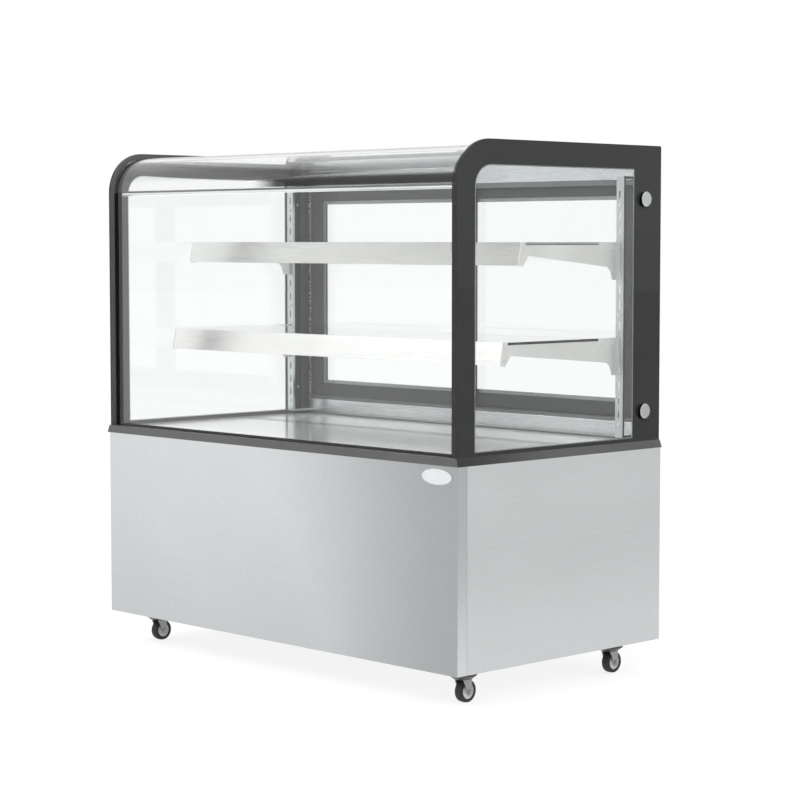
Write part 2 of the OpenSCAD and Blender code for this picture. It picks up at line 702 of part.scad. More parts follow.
// Finned coil between x0 and x1: a fin pack grooved on both faces, with tube ends
module coil(x0, x1, y0, z0, z1, tubes, rows) {
    fin_n = floor((x1 - x0) / fin_pitch) - 1;
    tube_pitch = (z1 - z0) / rows;
    groove = 9;
    difference() {
        block([x0, y0, z0], [x1, y0 + coil_t, z1]);
        for (i = [0:fin_n], y = [y0 - 1, y0 + coil_t - groove])
            block([x0 + i * fin_pitch + 2, y, z0 - 1], [x0 + (i + 1) * fin_pitch - 2, y + groove + 1, z1 + 1]);
    }
    for (x = [x0 - 8, x1], t = [0:tubes - 1], r = [0:rows - 1])
        rod_x(y0 + coil_t * (t + 0.5) / tubes, z0 + (r + 0.5) * tube_pitch, 4.5, x, x + 8);
}

// Square plate with a round fan opening, and a motor on three arms
module fan_plate(x, y, z, half_w, z0, z1, fan_d, shaft_to) {
    difference() {
        block([x - half_w, y, z0], [x + half_w, y + 2, z1]);
        rod_y(x, z, fan_d / 2 + 3, y - 1, y + 3);
    }
    for (a = [90, 210, 330]) translate([x, y, z]) rotate([0, a, 0])
        block([10, 0.5, -4], [fan_d / 2 + 8, 1.5, 4]);
    rod_y(x, z, 16, y - 0.5, y + 2.5);
    rod_y(x, z, 4, min(y + 1, shaft_to), max(y + 1, shaft_to));
}

module evaporator_coil() color("#c3c7c9") {
    coil(-330, 330, evaporator_y, evaporator_z0, evaporator_z1, 2, 5);
    for (x = [-300, 300])
        block([x - 15, evaporator_y, tub_z0 + tub_wall], [x + 15, evaporator_y + coil_t, evaporator_z0]);
    both_ends() block([86, evaporator_y + coil_t / 2, evaporator_z0 + 1],
        [89, evaporator_fan_y + fan_t + 4, evaporator_z1 - 1]);
    fan_plate(0, evaporator_fan_y + fan_t + 3, evaporator_mid, 90, evaporator_z0, evaporator_z1,
        evaporator_fan_d, evaporator_fan_y + 1);
}

// Five-bladed fan on an axis along Y
module fan_rotor(x, y, z, fan_d, depth) color(black) {
    half_chord = (depth / 2 - 1) / sin(blade_pitch);
    difference() {
        union() {
            rod_y(x, z, fan_d * 0.16, y, y + depth);
            for (a = [0:72:359]) translate([x, y + depth / 2, z]) rotate([0, a, 0]) rotate([blade_pitch, 0, 0])
                block([fan_d * 0.13, -1, -half_chord], [fan_d / 2 - 4, 1, half_chord]);
        }
        rod_y(x, z, 4 + run_gap, y - 1, y + depth + 1);
    }
}

module evaporator_fan() fan_rotor(0, evaporator_fan_y, evaporator_mid, evaporator_fan_d, fan_t);
module condenser_fan()
    fan_rotor(condenser_x, condenser_fan_y - condenser_fan_t, condenser_mid, condenser_fan_d, condenser_fan_t);

module condenser_coil() color(copper) {
    coil(condenser_x - 150, condenser_x + 150, condenser_y, condenser_z0, condenser_z1, 2, 6);
    for (s = [-1, 1]) {
        block([condenser_x + s * 120 - 15, condenser_y, machine_z],
            [condenser_x + s * 120 + 15, condenser_y + coil_t, condenser_z0]);
        block([condenser_x + s * 117 - 2, condenser_fan_y - condenser_fan_t - 4, condenser_z0 + 1],
            [condenser_x + s * 117 + 2, condenser_y + coil_t / 2, condenser_z1 - 1]);
    }
    fan_plate(condenser_x, condenser_fan_y - condenser_fan_t - 5, condenser_mid, 120, condenser_z0, condenser_z1,
        condenser_fan_d, condenser_fan_y - 1);
}

// Hermetic compressor on a sprung foot plate, with its two pipe stubs
module compressor() color("#26282a") {
    shell_r = compressor_d / 2;
    foot_z = machine_z + 14;
    block([compressor_x - 95, -50, foot_z], [compressor_x + 95, 50, foot_z + 4]);
    for (sx = [-1, 1], sy = [-1, 1])
        translate([compressor_x + sx * 80, sy * 36, machine_z]) cylinder(r = 12, h = 14);
    translate([compressor_x, 0, foot_z + 4]) rotate_extrude()
        polygon([[0, 0], [shell_r - 12, 0], [shell_r, 14], [shell_r, compressor_h - 40],
            [shell_r - 10, compressor_h - 16], [shell_r - 32, compressor_h], [0, compressor_h]]);
    rod_y(compressor_x + 20, foot_z + 60, 5, shell_r - 6, shell_r + 40);
    rod_y(compressor_x - 20, foot_z + 90, 4, shell_r - 6, shell_r + 40);
}

// Tray that collects and evaporates the melt water
module drip_pan() color("#bfc3c5") difference() {
    block([270, -150, machine_z], [500, 110, machine_z + 45]);
    block([271.5, -148.5, machine_z + 1.5], [498.5, 108.5, machine_z + 46]);
}

// -------------------------------------------------------- rear controls

module controller() color(black) difference() {
    union() {
        block([control_x + 20 - bezel_w / 2, hd + plate_t, control_z - bezel_h / 2],
            [control_x + 20 + bezel_w / 2, hd + plate_t + 1.8, control_z + bezel_h / 2]);
        block([control_x + 20 - bezel_w / 2 + 4, hd - 55, control_z - bezel_h / 2 + 4],
            [control_x + 20 + bezel_w / 2 - 4, hd + plate_t + 1, control_z + bezel_h / 2 - 4]);
    }
    for (x = button_xs) rod_y(x, control_z, button_r + button_gap, hd - 3, hd + plate_t + 3);
}

module push_button(x) color("#8f9395") rod_y(x, control_z, button_r, hd - 0.5, hd + plate_t + 2.8);
module up_button() push_button(button_xs[1]);
module down_button() push_button(button_xs[0]);

// Rocker with a shallow V face, rocking on two short pins
module rocker(x) color("#2b2c2e") {
    half = rocker_h / 2;
    translate([0, hd, control_z]) along_x(x - rocker_w / 2, x + rocker_w / 2)
        polygon([[-4, -half + 2], [2.6, -half], [1.2, 0], [1.2, half], [-4, half - 2]]);
    rod_x(hd - 2, control_z, rocker_pin_r, x - rocker_w / 2 - 1.8, x + rocker_w / 2 + 1.8);
}

module power_switch() rocker(rocker_xs[0]);
module light_switch() rocker(rocker_xs[1]);

// Flanged gland for the supply cord, with its nut inside the rear panel
module cable_gland() color(black) difference() {
    union() {
        rod_y(gland_x, gland_z, gland_r + 9, hd, hd + 4);
        rod_y(gland_x, gland_z, gland_r + 5, hd - 16, hd + 1);
        rod_y(gland_x, gland_z, gland_r + 9, hd - sheet_t - 6, hd - sheet_t);
    }
    rod_y(gland_x, gland_z, gland_r, hd - 17, hd + 5);
}

// -------------------------------------------------------------- casters

module caster_plates() color("#a7aaac") for (x = caster_xs, y = caster_ys) translate([x, y, 0]) {
    block([-caster_plate / 2, -caster_plate / 2, plate_z0], [caster_plate / 2, caster_plate / 2, caster_h]);
    translate([0, 0, plate_z0 - 5]) cylinder(r = 15, h = 5);
    translate([0, 0, plate_z0 - 18]) cylinder(r = pin_r, h = 18);
    translate([0, 0, plate_z0 - 20]) cylinder(r = 6, h = 2);
}

// Pressed fork with triangular cheeks and a riveted axle
module fork(x, y) color("#8b8d8f") translate([x, y, 0]) {
    crown_z1 = plate_z0 - 5 - fit_gap;
    crown_z0 = plate_z0 - 18 + fit_gap;
    cheek_x = wheel_w / 2 + fork_gap;
    crown_r = 15;
    difference() {
        translate([0, 0, crown_z0]) cylinder(r = crown_r, h = crown_z1 - crown_z0);
        translate([0, 0, crown_z0 - 1]) cylinder(r = pin_r + run_gap, h = 30);
        translate([0, 0, crown_z0 - 1]) cylinder(r = 6.3, h = 1);
    }
    both_ends() along_x(cheek_x, cheek_x + cheek_t) {
        polygon([[-crown_r + 4, crown_z1], [-crown_r + 4, crown_z0 - 4], [caster_trail - 8, wheel_r - 3],
            [caster_trail + 8, wheel_r - 3], [crown_r - 2, crown_z0 - 4], [crown_r - 4, crown_z1]]);
        translate([caster_trail, wheel_r]) circle(8.5);
    }
    both_ends() block([8, -crown_r + 4, crown_z1 - 4], [cheek_x + 0.5, crown_r - 4, crown_z1]);
    rod_x(caster_trail, wheel_r, axle_r, -cheek_x - 0.5, cheek_x + 0.5);
    both_ends() rod_x(caster_trail, wheel_r, 4.5, cheek_x + cheek_t, cheek_x + cheek_t + 1.8);
}

module wheel_hub(x, y) color("#d9dadb") translate([x, y + caster_trail, wheel_r])
    rotate([0, 90, 0]) rotate_extrude()
        polygon([[axle_r + run_gap, -wheel_w / 2], [7, -wheel_w / 2], [9, -wheel_w / 2 + 3],
            [hub_r, -wheel_w / 2 + 3], [hub_r, wheel_w / 2 - 3], [9, wheel_w / 2 - 3],
            [7, wheel_w / 2], [axle_r + run_gap, wheel_w / 2]]);

module tyre(x, y) color(black) translate([x, y + caster_trail, wheel_r])
    rotate([0, 90, 0]) rotate_extrude()
        polygon([[hub_r, -wheel_w / 2 + 1], [wheel_r - 3, -wheel_w / 2 + 1], [wheel_r - 0.8, -wheel_w / 2 + 3],
            [wheel_r, -wheel_w / 2 + 7], [wheel_r, wheel_w / 2 - 7], [wheel_r - 0.8, wheel_w / 2 - 3],
            [wheel_r - 3, wheel_w / 2 - 1], [hub_r, wheel_w / 2 - 1]]);

module front_left_fork() fork(caster_xs[0], caster_ys[0]);
module front_right_fork() fork(caster_xs[1], caster_ys[0]);
module rear_left_fork() fork(caster_xs[0], caster_ys[1]);
module rear_right_fork() fork(caster_xs[1], caster_ys[1]);
module front_left_wheel() wheel_hub(caster_xs[0], caster_ys[0]);
module front_right_wheel() wheel_hub(caster_xs[1], caster_ys[0]);
module rear_left_wheel() wheel_hub(caster_xs[0], caster_ys[1]);
module rear_right_wheel() wheel_hub(caster_xs[1], caster_ys[1]);
module front_left_tyre() tyre(caster_xs[0], caster_ys[0]);
module front_right_tyre() tyre(caster_xs[1], caster_ys[0]);
module rear_left_tyre() tyre(caster_xs[0], caster_ys[1]);
module rear_right_tyre() tyre(caster_xs[1], caster_ys[1]);

base_frame();
front_panel();
left_side_panel();
right_side_panel();
rear_panel();
control_plate();
insulated_tub();
deck_panel();
base_trim();
badge_plate();
left_end_glass();
right_end_glass();
glass_borders();
front_glass();
glass_caps();
light_bar();
rear_frame();
corner_posts();
upper_track();
lower_track();
left_door_frame();
right_door_frame();
left_door_glass();
right_door_glass();
left_standard();
right_standard();
standard_screws();
upper_left_bracket();
upper_right_bracket();
lower_left_bracket();
lower_right_bracket();
upper_shelf_rail();
lower_shelf_rail();
upper_shelf_glass();
lower_shelf_glass();
evaporator_coil();
evaporator_fan();
compressor();
condenser_coil();
condenser_fan();
drip_pan();
controller();
up_button();
down_button();
power_switch();
light_switch();
cable_gland();
caster_plates();
front_left_fork();
front_right_fork();
rear_left_fork();
rear_right_fork();
front_left_wheel();
front_right_wheel();
rear_left_wheel();
rear_right_wheel();
front_left_tyre();
front_right_tyre();
rear_left_tyre();
rear_right_tyre();
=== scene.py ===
"""Looks of the bakery display case: finishes, small fittings, studio and camera.

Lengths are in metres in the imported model's own frame: X to the right end, Y to the rear,
Z up from the floor. A name that ends in _MM holds millimetres.
"""
import json
import math

import bmesh
import bpy
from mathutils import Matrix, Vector


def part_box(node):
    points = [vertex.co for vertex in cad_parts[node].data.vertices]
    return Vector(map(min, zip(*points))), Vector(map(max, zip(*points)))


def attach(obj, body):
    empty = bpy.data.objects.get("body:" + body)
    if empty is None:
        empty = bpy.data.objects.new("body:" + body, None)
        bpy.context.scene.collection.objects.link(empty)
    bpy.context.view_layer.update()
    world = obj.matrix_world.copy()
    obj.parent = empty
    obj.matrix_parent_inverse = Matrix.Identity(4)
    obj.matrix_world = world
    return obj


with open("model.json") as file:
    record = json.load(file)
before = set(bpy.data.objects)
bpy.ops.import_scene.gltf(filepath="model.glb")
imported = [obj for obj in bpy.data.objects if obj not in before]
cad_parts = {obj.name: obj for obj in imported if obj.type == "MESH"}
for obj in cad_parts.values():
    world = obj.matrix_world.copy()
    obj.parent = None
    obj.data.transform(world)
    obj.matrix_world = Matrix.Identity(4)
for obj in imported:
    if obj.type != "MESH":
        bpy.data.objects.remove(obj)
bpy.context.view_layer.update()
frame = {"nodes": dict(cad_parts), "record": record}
NODES = frame["nodes"]
MM = 0.001

# ------------------------------------------------------------------- camera

CAMERA_PLACE = (3.8436, -3.6330, 0.9893)
CAMERA_TILT = math.radians(90 - 4.083)
CAMERA_TURN = math.radians(45.967)
CAMERA_LENS_MM = 100.7
CAMERA_SENSOR_MM = 36


def make_camera():
    data = bpy.data.cameras.new("camera")
    data.lens = CAMERA_LENS_MM
    data.sensor_width = CAMERA_SENSOR_MM
    camera = bpy.data.objects.new("camera", data)
    camera.location = CAMERA_PLACE
    camera.rotation_euler = (CAMERA_TILT, 0, CAMERA_TURN)
    bpy.context.scene.collection.objects.link(camera)
    bpy.context.scene.camera = camera


# ----------------------------------------------------------- shader helpers

SEED_STEP = (1.0, 1.7, 0.6)


def plug(tree, socket, value):
    """Links an output socket to a socket, or sets the socket's own value."""
    if isinstance(value, bpy.types.NodeSocket):
        tree.links.new(value, socket)
    elif isinstance(value, (tuple, list)) and socket.type == "RGBA" and len(value) == 3:
        socket.default_value = (*value, 1)
    else:
        socket.default_value = value


def add(tree, kind, **inputs):
    """A new shader node; inputs are set by name, with _ for a space."""
    node = tree.nodes.new("ShaderNode" + kind)
    for name, value in inputs.items():
        plug(tree, node.inputs[name.replace("_", " ")], value)
    return node


def grain(tree, scale, detail=3.0, roughness=0.55, seed=0.0):
    """Noise from 0 to 1 over the object's own coordinates, at a scale for each axis."""
    place = add(tree, "TexCoord").outputs["Object"]
    shift = tuple(seed * step for step in SEED_STEP)
    mapping = add(tree, "Mapping", Vector=place, Scale=scale, Location=shift)
    noise = add(tree, "TexNoise", Vector=mapping.outputs[0], Scale=1.0, Detail=detail, Roughness=roughness)
    return noise.outputs["Fac"]


def spread(tree, value, low, high, start=0.3, stop=0.7, smooth=True):
    """Takes a value between start and stop to one between low and high."""
    node = add(tree, "MapRange", Value=value, From_Min=start, From_Max=stop, To_Min=low, To_Max=high)
    node.interpolation_type = "SMOOTHSTEP" if smooth else "LINEAR"
    return node.outputs["Result"]


def shade(tree, fac, colour_a, colour_b):
    """Colour A where fac is 0 and colour B where it is 1."""
    node = tree.nodes.new("ShaderNodeMix")
    node.data_type = "RGBA"
    plug(tree, node.inputs[0], fac)
    plug(tree, node.inputs[6], colour_a)
    plug(tree, node.inputs[7], colour_b)
    return node.outputs[2]


def math_node(tree, operation, a, b=0.0):
    node = tree.nodes.new("ShaderNodeMath")
    node.operation = operation
    plug(tree, node.inputs[0], a)
    plug(tree, node.inputs[1], b)
    return node.outputs[0]


def product(tree, a, b):
    return math_node(tree, "MULTIPLY", a, b)


def greater(tree, a, b):
    return math_node(tree, "MAXIMUM", a, b)


def axis_value(tree, axis):
    """The object coordinate along X, Y or Z, in metres."""
    place = add(tree, "TexCoord").outputs["Object"]
    return add(tree, "SeparateXYZ", Vector=place).outputs[axis]


def along_axis(tree, axis, start, stop, low=0, high=1, smooth=True):
    """A change from low to high between two places on an axis."""
    return spread(tree, axis_value(tree, axis), low, high, start, stop, smooth)


def normal_along(tree, axis):
    """How far a face looks along X, Y or Z, from 0 to 1."""
    normal = add(tree, "NewGeometry").outputs["Normal"]
    return math_node(tree, "ABSOLUTE", add(tree, "SeparateXYZ", Vector=normal).outputs[axis])


def faces_along(tree, axis, start=0.3, stop=0.8):
    """1 on faces that look along an axis, 0 on faces across it."""
    return spread(tree, normal_along(tree, axis), 0, 1, start, stop)


def bump(tree, height, strength, distance):
    return add(tree, "Bump", Height=height, Strength=strength, Distance=distance).outputs[0]


def new_tree(name):
    made = bpy.data.materials.new(name)
    made.use_nodes = True
    made.node_tree.nodes.clear()
    return made, made.node_tree


def finish_surface(tree, shader):
    out = tree.nodes.new("ShaderNodeOutputMaterial")
    tree.links.new(shader, out.inputs["Surface"])


def mix_shaders(tree, fac, first, second):
    """The first shader where fac is 0 and the second where it is 1."""
    both = add(tree, "MixShader", Fac=fac)
    tree.links.new(first.outputs[0], both.inputs[1])
    tree.links.new(second.outputs[0], both.inputs[2])
    return both


def scaled(colour, factor):
    return tuple(min(1.0, c * factor) for c in colour)


# ---------------------------------------------------------- kinds of finish
# Grain scales are in pattern widths per metre. A tone is a function that takes
# the tree and the base colour and returns the colour changed by place: painted light or shade.

STREAK_LONG = 2.6
STREAK_FINE = 620.0
STREAK_SHADE = 0.88
STREAK_DEPTH = 0.000006
METAL_CLOUDS = 3.1
PAINT_CLOUDS = 7.0
PAINT_MOTTLE = 0.07
PAINT_BUMP = 0.35
GLASS_IOR = 1.45
GLASS_SMEARS = 5.0
GLASS_ROUGHNESS = 0.012
GROUND_EDGE = (0.75, 0.9)
SPANGLE_CELLS = 95.0
SPANGLE_SHADES = (0.82, 1.12)
SPANGLE_ROUGHNESS = (0.32, 0.5)
RUBBER_GRAIN = 1500.0
RUBBER_DUST = 60.0
RUBBER_DUST_SHADE = 1.8
RUBBER_ROUGHNESS = (0.5, 0.72)
RUBBER_BUMP = 0.4
RUBBER_DEPTH = 0.00005
DIODE_WAVES = 26.0
DIODE_DIM = 0.8
DIFFUSER_ROUGHNESS = 0.4
WARM_WHITE = (1.0, 0.99, 0.96)


def brushed(name, colour, along, roughness=(0.24, 0.34), lines=0.12, cloud=0.06, metallic=1.0, tone=None):
    """Brushed metal: fine lines along one axis, soft clouds in the colour."""
    made, tree = new_tree(name)
    scale = tuple(STREAK_LONG if axis == along else STREAK_FINE for axis in "XYZ")
    streak = grain(tree, scale, detail=3.0, roughness=0.6)
    cloudy = grain(tree, (METAL_CLOUDS,) * 3, detail=4.0, roughness=0.5, seed=2.3)
    base = shade(tree, spread(tree, cloudy, 0, 1), scaled(colour, 1 - cloud), scaled(colour, 1 + cloud))
    base = shade(tree, spread(tree, streak, 0, lines), base, scaled(colour, STREAK_SHADE))
    if tone:
        base = tone(tree, base)
    surface = add(
        tree, "BsdfPrincipled", Base_Color=base, Metallic=metallic,
        Roughness=spread(tree, streak, *roughness), Normal=bump(tree, streak, lines, STREAK_DEPTH),
    )
    finish_surface(tree, surface.outputs[0])
    return made


def painted(name, colour, roughness=(0.36, 0.46), grain_size=900.0, depth=0.00004, metallic=0.0, tone=None):
    """Powder coat or moulded plastic: fine orange peel, slight mottling."""
    made, tree = new_tree(name)
    fine = grain(tree, (grain_size,) * 3, detail=2.0)
    cloudy = grain(tree, (PAINT_CLOUDS,) * 3, detail=4.0, seed=1.3)
    darker, lighter = scaled(colour, 1 - PAINT_MOTTLE), scaled(colour, 1 + PAINT_MOTTLE)
    base = shade(tree, spread(tree, cloudy, 0, 1), darker, lighter)
    if tone:
        base = tone(tree, base)
    surface = add(
        tree, "BsdfPrincipled", Base_Color=base, Metallic=metallic,
        Roughness=spread(tree, fine, *roughness), Normal=bump(tree, fine, PAINT_BUMP, depth),
    )
    finish_surface(tree, surface.outputs[0])
    return made


def glass(name, tint, edge_tint, edge_axes, tone=None):
    """Clear glass whose ground edges are darker; lamps shine through it."""
    made, tree = new_tree(name)
    edge = normal_along(tree, edge_axes[0])
    for axis in edge_axes[1:]:
        edge = greater(tree, edge, normal_along(tree, axis))
    smear = grain(tree, (GLASS_SMEARS,) * 3, detail=5.0, roughness=0.6, seed=4.0)
    colour = shade(tree, spread(tree, edge, 0, 1, *GROUND_EDGE), tint, edge_tint)
    if tone:
        colour = tone(tree, colour)
    surface = add(
        tree, "BsdfPrincipled", Base_Color=colour, Roughness=spread(tree, smear, 0.0, GLASS_ROUGHNESS),
        IOR=GLASS_IOR, Transmission_Weight=1.0,
    )
    clear = add(tree, "BsdfTransparent", Color=tint)
    lamp_ray = add(tree, "LightPath").outputs["Is Shadow Ray"]
    finish_surface(tree, mix_shaders(tree, lamp_ray, surface, clear).outputs[0])
    return made


def galvanised(name, colour):
    """Zinc-coated sheet with its spangle."""
    made, tree = new_tree(name)
    place = add(tree, "TexCoord").outputs["Object"]
    cells = add(tree, "TexVoronoi", Vector=place, Scale=SPANGLE_CELLS)
    spangle = add(tree, "SeparateColor", Color=cells.outputs["Color"]).outputs[0]
    darker, lighter = (scaled(colour, factor) for factor in SPANGLE_SHADES)
    surface = add(
        tree, "BsdfPrincipled", Base_Color=shade(tree, spangle, darker, lighter), Metallic=1.0,
        Roughness=spread(tree, spangle, *SPANGLE_ROUGHNESS, start=0, stop=1),
    )
    finish_surface(tree, surface.outputs[0])
    return made


def rubber(name, colour):
    """Dusty black rubber with a fine grain."""
    made, tree = new_tree(name)
    fine = grain(tree, (RUBBER_GRAIN,) * 3, detail=3.0)
    dusty = grain(tree, (RUBBER_DUST,) * 3, detail=4.0, seed=3.1)
    base = shade(tree, spread(tree, dusty, 0, 1), colour, scaled(colour, RUBBER_DUST_SHADE))
    surface = add(
        tree, "BsdfPrincipled", Base_Color=base, Roughness=spread(tree, dusty, *RUBBER_ROUGHNESS),
        Normal=bump(tree, fine, RUBBER_BUMP, RUBBER_DEPTH),
    )
    finish_surface(tree, surface.outputs[0])
    return made


def lamp_face(name, colour, strength):
    """Milky diffuser of a lit strip, with faint dots where its diodes sit."""
    made, tree = new_tree(name)
    place = add(tree, "TexCoord").outputs["Object"]
    dots = add(tree, "TexWave", Vector=place, Scale=DIODE_WAVES, Distortion=0.0)
    glow = spread(tree, dots.outputs["Fac"], strength * DIODE_DIM, strength, 0.0, 1.0)
    surface = add(
        tree, "BsdfPrincipled", Base_Color=colour, Roughness=DIFFUSER_ROUGHNESS,
        Emission_Color=WARM_WHITE, Emission_Strength=glow,
    )
    finish_surface(tree, surface.outputs[0])
    return made


# -------------------------------------------------------------------- tones
# Every tone below is painted light, shade or reflection. A name that ends in _X, _Y or _Z
# holds the two places on that axis between which the tone changes.

# Painted shade on the front and rear sheets, toward the right end and the foot.
FRONT_DARK = (0.20, 0.21, 0.215)
FRONT_RIGHT_X = (-0.15, 0.62)
FRONT_RIGHT_SHARE = 0.62
FRONT_FOOT_Z = (0.05, 0.60)
FRONT_FOOT_SHARE = 0.26

# Painted shade on the end sheets, toward the foot.
SIDE_DARK = (0.62, 0.635, 0.64)
SIDE_Z = (0.065, 0.45)

# Painted shade on the upper rail, growing toward its right end.
BETWEEN_RAILS_Z = (0.80, 0.90)
RAIL_X = (-0.57, 0.50)
UPPER_RAIL_LEFT = (0.76, 0.76, 0.745)
UPPER_RAIL_RIGHT = (0.33, 0.33, 0.322)

# Painted shade on the trim's end faces near the front corner.
TRIM_DARK = (0.035, 0.035, 0.037)
TRIM_FRONT_Y = (-0.33, 0.0)

# The print on the bent pane; on the end glasses the same print is painted lighter, as lit.
PANE_PRINT = (0.055, 0.055, 0.056)

# Painted shade on the caps' sides.
CAP_SIDE_SHADE = (0.015, 0.015, 0.016)
CAP_FACING = (0.25, 0.5)

# Painted reflections in the pane's bend: a dark band over the lamp, a grey streak above it, and the crest.
BEND_DARK = (0.012, 0.012, 0.013)
BEND_Y = (-0.236, -0.232)
BAND_FOOT_Z = (1.107, 1.111)
BAND_TOP_Z = (1.126, 1.137)
BAND_X = (-0.08, 0.02)
BAND_SHARE = 0.97
GREY_STREAK_TOP_Z = (1.145, 1.165)
GREY_STREAK_X = (-0.5, 0.4)
GREY_STREAK_SHARES = (0.15, 0.38)
CREST_Z = (1.1868, 1.1882)
CREST_SHARE = 0.75

# Painted shade on the lamp housing above its lower lip.
HOUSING_DARK = (0.16, 0.16, 0.165)
HOUSING_LIP_Z = (1.1025, 1.1035)


def front_painted_shade(tree, base):
    """Painted shade: the front and rear sheets darken slowly toward the right end and the foot."""
    right = along_axis(tree, "X", *FRONT_RIGHT_X)
    foot = along_axis(tree, "Z", *FRONT_FOOT_Z, low=1, high=0)
    dark = greater(tree, product(tree, right, FRONT_RIGHT_SHARE), product(tree, foot, FRONT_FOOT_SHARE))
    return shade(tree, product(tree, dark, faces_along(tree, "Y")), base, FRONT_DARK)


def side_painted_shade(tree, base):
    """Painted shade: the end sheets darken evenly toward the foot."""
    return shade(tree, along_axis(tree, "Z", *SIDE_Z, low=1, high=0, smooth=False), base, SIDE_DARK)


def rail_painted_shade(tree, base):
    """Painted light and shade: the upper rail is painted darker than the lower one, the more so toward its
    right end.
    """
    upper = along_axis(tree, "Z", *BETWEEN_RAILS_Z)
    right = along_axis(tree, "X", *RAIL_X, smooth=False)
    return shade(tree, upper, base, shade(tree, right, UPPER_RAIL_LEFT, UPPER_RAIL_RIGHT))


def trim_painted_shade(tree, base):
    """Painted shade: the end faces of the trim are darker toward the front corner."""
    front = along_axis(tree, "Y", *TRIM_FRONT_Y, low=1, high=0)
    return shade(tree, product(tree, front, faces_along(tree, "X")), base, TRIM_DARK)


def border_painted_light(tree, base):
    """Painted light: the print is blacker on the bent pane than on the end glasses, where it is painted
    lighter as lit.
    """
    return shade(tree, faces_along(tree, "X"), PANE_PRINT, base)


def cap_painted_shade(tree, base):
    """Painted shade: only the caps' round faces are bright; their sides are painted near-black."""
    return shade(tree, faces_along(tree, "X", *CAP_FACING), CAP_SIDE_SHADE, base)


def bend_painted_reflection(tree, base):
    """Painted reflections: dark streaks in the pane's bend, a band over the lamp, a grey streak above it, and
    the crest.
    """
    band = product(
        tree, along_axis(tree, "Z", *BAND_FOOT_Z), along_axis(tree, "Z", *BAND_TOP_Z, low=1, high=0))
    band = product(tree, band, along_axis(tree, "X", *BAND_X, high=BAND_SHARE))
    grey_streak = product(
        tree, along_axis(tree, "Z", *BAND_TOP_Z), along_axis(tree, "Z", *GREY_STREAK_TOP_Z, low=1, high=0))
    grey_streak = product(tree, grey_streak, along_axis(tree, "X", *GREY_STREAK_X, *GREY_STREAK_SHARES))
    crest = along_axis(tree, "Z", *CREST_Z, high=CREST_SHARE)
    dark = greater(tree, greater(tree, band, grey_streak), crest)
    in_bend = along_axis(tree, "Y", *BEND_Y, low=1, high=0)
    return shade(tree, product(tree, dark, in_bend), base, BEND_DARK)


def housing_painted_shade(tree, base):
    """Painted shade: only the lower lip of the lamp housing is bright; above it the housing is painted dark.
    """
    return shade(tree, along_axis(tree, "Z", *HOUSING_LIP_Z), base, HOUSING_DARK)


# ----------------------------------------------------------------- finishes

FRONT_STEEL = (0.675, 0.693, 0.698)
# The end sheets' steel: the front's steel painted lighter, as lit.
SIDE_STEEL_PAINTED_LIT = (0.885, 0.905, 0.91)
ZINC = (0.5, 0.51, 0.52)
WATER_CLEAR = (0.975, 0.985, 0.982)
GREEN_EDGE = (0.16, 0.26, 0.24)
DARK_EDGE = (0.05, 0.06, 0.06)
GREY_EDGE = (0.30, 0.36, 0.35)


def metal_finishes():
    """Brushed and galvanised sheet, rails and extrusions."""
    return {
        "steel": brushed(
            "front_steel", FRONT_STEEL, "X", (0.26, 0.32), lines=0.05, cloud=0.02, tone=front_painted_shade),
        # The end sheets get a copy of the steel painted lighter, as lit.
        "side_steel_painted_lit": brushed(
            "side_steel_painted_lit", SIDE_STEEL_PAINTED_LIT, "Y", (0.26, 0.32), lines=0.05, cloud=0.02, tone=side_painted_shade),
        "deck_steel": brushed(
            "deck_steel", (0.80, 0.80, 0.80), "X", (0.12, 0.18), lines=0.04, metallic=0.45),
        "door_steel": brushed("door_surround_steel", (0.66, 0.68, 0.69), "X", (0.22, 0.3), lines=0.04),
        "rail_steel": brushed(
            "shelf_rail_steel", (0.92, 0.915, 0.90), "X", (0.26, 0.36), lines=0.16, tone=rail_painted_shade),
        "standard_zinc": brushed("standard_zinc", (0.58, 0.60, 0.61), "Z", (0.26, 0.36)),
        "dark_frame": brushed(
            "door_frame_anodised", (0.06, 0.061, 0.063), "Z", (0.3, 0.42), lines=0.08, metallic=0.3),
        "track": brushed("track_anodised", (0.17, 0.175, 0.18), "X", (0.3, 0.4), metallic=0.8),
        "cap": brushed("cap_satin", (0.68, 0.69, 0.695), "Z", (0.28, 0.32), lines=0.01, tone=cap_painted_shade),
        "light_housing": brushed(
            "lamp_housing", (0.86, 0.87, 0.88), "X", (0.22, 0.32), lines=0.03, tone=housing_painted_shade),
        "coil_alu": brushed("coil_aluminium", (0.62, 0.63, 0.64), "Z", (0.3, 0.42)),
        "coil_copper": brushed("coil_copper", (0.60, 0.30, 0.17), "Z", (0.28, 0.4)),
        "bead": brushed("glazing_bead", (0.30, 0.305, 0.31), "Z", (0.26, 0.36), lines=0.2),
        "rim_metal": brushed("badge_rim_metal", (0.80, 0.81, 0.82), "X", (0.2, 0.3), lines=0.03),
        "frame_steel": galvanised("galvanised_frame", ZINC),
        "pan_zinc": galvanised("pan_zinc", ZINC),
        "screw_zinc": galvanised("screw_zinc", (0.72, 0.73, 0.74)),
    }


